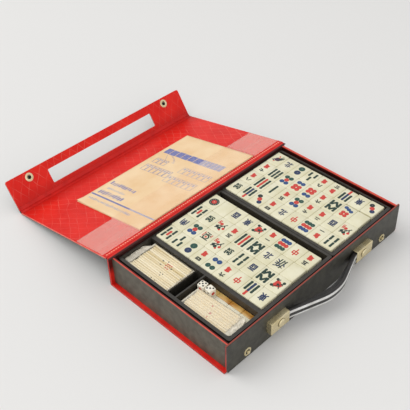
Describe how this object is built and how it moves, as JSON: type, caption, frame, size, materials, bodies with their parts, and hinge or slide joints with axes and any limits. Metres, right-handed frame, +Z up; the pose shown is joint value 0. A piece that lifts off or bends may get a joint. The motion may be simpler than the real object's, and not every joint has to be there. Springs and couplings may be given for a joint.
{
  "type": "mahjong case",
  "caption": "Book-style carrying case for a mahjong set, open: lid, closing flap, bow handle and two lift-out trays of tiles.",
  "frame": {"origin": "middle of the base, on the face that rests on the table", "axes": "+X along the hinge, +Y from the front panel to the hinge and lid, +Z up"},
  "size_m": [0.31, 0.4269, 0.0454],
  "materials": {
    "black_leatherette": "grained",
    "red_vinyl": "satin",
    "board": "raw",
    "brass": "satin",
    "black_pvc": "satin",
    "bright_trim": "metallised",
    "tray_plastic": "satin",
    "tile_cream": "polished",
    "tile_amber": "polished",
    "stick_cream": "satin",
    "clear_film": "clear",
    "dice_white": "polished",
    "paper": "matte"
  },
  "bodies": {
    "case": {"back_wall": "red_vinyl", "base_board": "board", "cover_lining": "red_vinyl", "front_board": "board", "handle_back_plates": "brass", "handle_rivets": "brass", "handle_strap": "black_pvc", "hinge_strip": "red_vinyl", "left_handle_bracket": "brass", "left_wall_board": "board", "left_wall_lining": "red_vinyl", "left_wall_skin": "black_leatherette", "lower_handle_trim": "bright_trim", "outer_skin": "black_leatherette", "right_handle_bracket": "brass", "right_wall_board": "board", "right_wall_lining": "red_vinyl", "right_wall_skin": "black_leatherette", "snap_studs": "brass", "spine_board": "board", "stud_washers": "brass", "upper_handle_trim": "bright_trim"},
    "lid": {"lid_skin": "black_leatherette", "lid_board": "board", "lid_lining": "red_vinyl", "lid_pocket": "clear_film"},
    "booklet": {"booklet": "paper"},
    "crease": {"fold_piping": "red_vinyl"},
    "flap": {"flap_board": "board", "flap_skin": "black_leatherette", "flap_lining": "red_vinyl", "snap_sockets": "brass", "socket_caps": "brass"},
    "tray_left": {"left_tray": "tray_plastic", "spare_tile_faces": "tile_cream", "spare_tile_backs": "tile_amber", "dice": "dice_white", "back_sticks": "stick_cream", "front_sticks": "stick_cream", "back_stick_bag": "clear_film", "front_stick_bag": "clear_film", "left_lower_tile_backs": "tile_amber", "left_lower_tile_faces": "tile_cream", "left_upper_tile_backs": "tile_amber", "left_upper_tile_faces": "tile_cream"},
    "tray_right": {"right_tray": "tray_plastic", "right_lower_tile_backs": "tile_amber", "right_lower_tile_faces": "tile_cream", "right_upper_tile_backs": "tile_amber", "right_upper_tile_faces": "tile_cream"}
  },
  "joints": [
    {"name": "lid_hinge", "type": "hinge", "parent": "case", "child": "lid", "pos_m": [0, 0.0952, 0.0448], "axis": [-1, 0, 0], "range_deg": [-192.5, 0]},
    {"name": "crease_fold", "type": "hinge", "parent": "lid", "child": "crease", "pos_m": [0, 0.28236, 0.00331], "axis": [-1, 0, 0], "range_deg": [0, 28]},
    {"name": "flap_hinge", "type": "hinge", "parent": "crease", "child": "flap", "pos_m": [0, 0.28236, 0.00331], "axis": [-1, 0, 0], "range_deg": [-47.5, 55.5]},
    {"name": "booklet_slide", "type": "slide", "parent": "lid", "child": "booklet", "axis": [0, 0.9763, -0.2164], "range_m": [0, 0.045]},
    {"name": "left_tray_lift", "type": "slide", "parent": "case", "child": "tray_left", "axis": [0, 0, 1], "range_m": [0, 0.06]},
    {"name": "right_tray_lift", "type": "slide", "parent": "case", "child": "tray_right", "axis": [0, 0, 1], "range_m": [0, 0.06]}
  ],
  "couplings": [
    {"joint": "crease_fold", "follows": "lid_hinge", "ratio": -0.14026}
  ]
}
